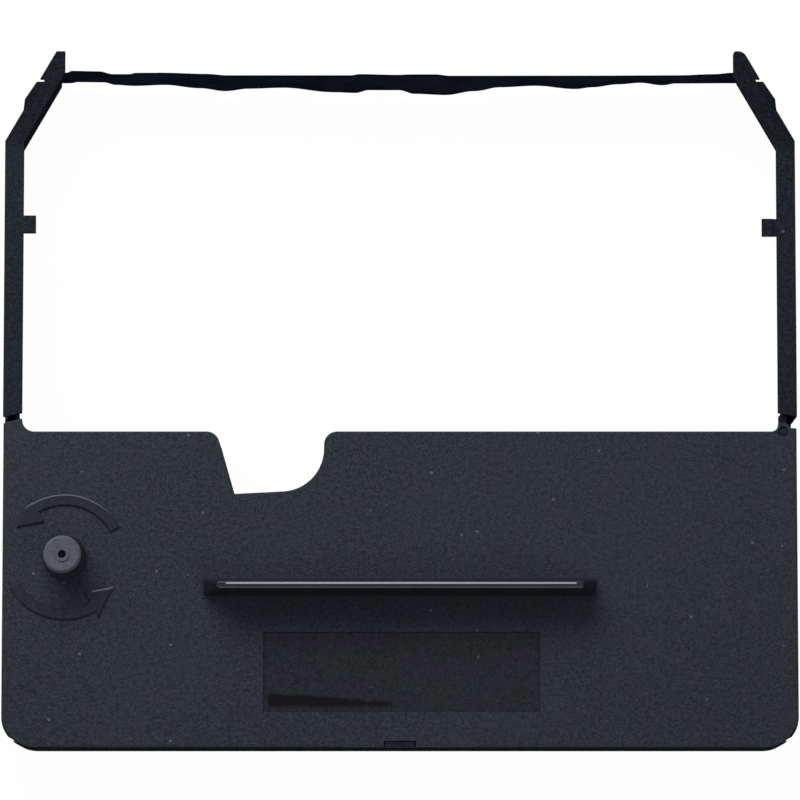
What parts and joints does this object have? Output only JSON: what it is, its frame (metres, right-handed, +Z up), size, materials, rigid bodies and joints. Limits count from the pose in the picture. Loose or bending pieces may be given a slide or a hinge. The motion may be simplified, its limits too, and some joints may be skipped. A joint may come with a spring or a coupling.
{
  "type": "printer ribbon cartridge",
  "caption": "Flat printer ribbon cartridge with two guide arms, a free ribbon span between their tips, a turning knob and a finger grip on the cover.",
  "frame": {"origin": "on the resting face, under the middle of the whole outline, arms included", "axes": "+X across the cartridge to the right seen from above with the arms pointing away, +Y from the front edge towards the arm tips, +Z up out of the cover"},
  "size_m": [0.1668, 0.1472, 0.0262],
  "materials": {
    "case_plastic": "moulded charcoal plastic, fine spark texture",
    "cover_plastic": "moulded charcoal plastic, coarse spark texture, polished grip and recess",
    "clip_plastic": "smooth black plastic",
    "knob_plastic": "grey plastic, handled",
    "roller_plastic": "natural acetal",
    "spring_steel": "bright strip",
    "tyre_rubber": "ground rubber, inky",
    "felt": "pressed felt, inky",
    "inked_ribbon": "woven nylon soaked with black ink"
  },
  "bodies": {
    "case": {"bottom_case": "case_plastic", "top_cover": "cover_plastic", "left_guide_clip": "clip_plastic", "right_guide_clip": "clip_plastic", "pinch_spring": "spring_steel", "brake_leaf": "spring_steel", "felt_pad": "felt", "ribbon_run": "inked_ribbon", "ribbon_folds": "inked_ribbon"},
    "drive": {"drive_knob": "knob_plastic", "drive_roller": "roller_plastic"},
    "pinch_arm": {"pinch_lever": "roller_plastic", "pinch_axle": "spring_steel"},
    "pinch_roller": {"pinch_hub": "roller_plastic", "pinch_tyre": "tyre_rubber"}
  },
  "joints": [
    {"name": "drive_spin", "type": "hinge", "parent": "case", "child": "drive", "pos_m": [-0.0702, -0.0337, 0.008], "axis": [0, 0, 1], "continuous": true},
    {"name": "pinch_swing", "type": "hinge", "parent": "case", "child": "pinch_arm", "pos_m": [-0.0771, -0.0466, 0.003], "axis": [0, 0, 1], "range_deg": [-3, 0], "stiffness_Nm_per_rad": 0.05, "springref_deg": 5.73},
    {"name": "pinch_spin", "type": "hinge", "parent": "pinch_arm", "child": "pinch_roller", "pos_m": [-0.06743, -0.04403, 0.008], "axis": [0, 0, 1], "continuous": true}
  ],
  "couplings": [
    {"joint": "pinch_spin", "follows": "drive_spin", "ratio": -1.5}
  ]
}
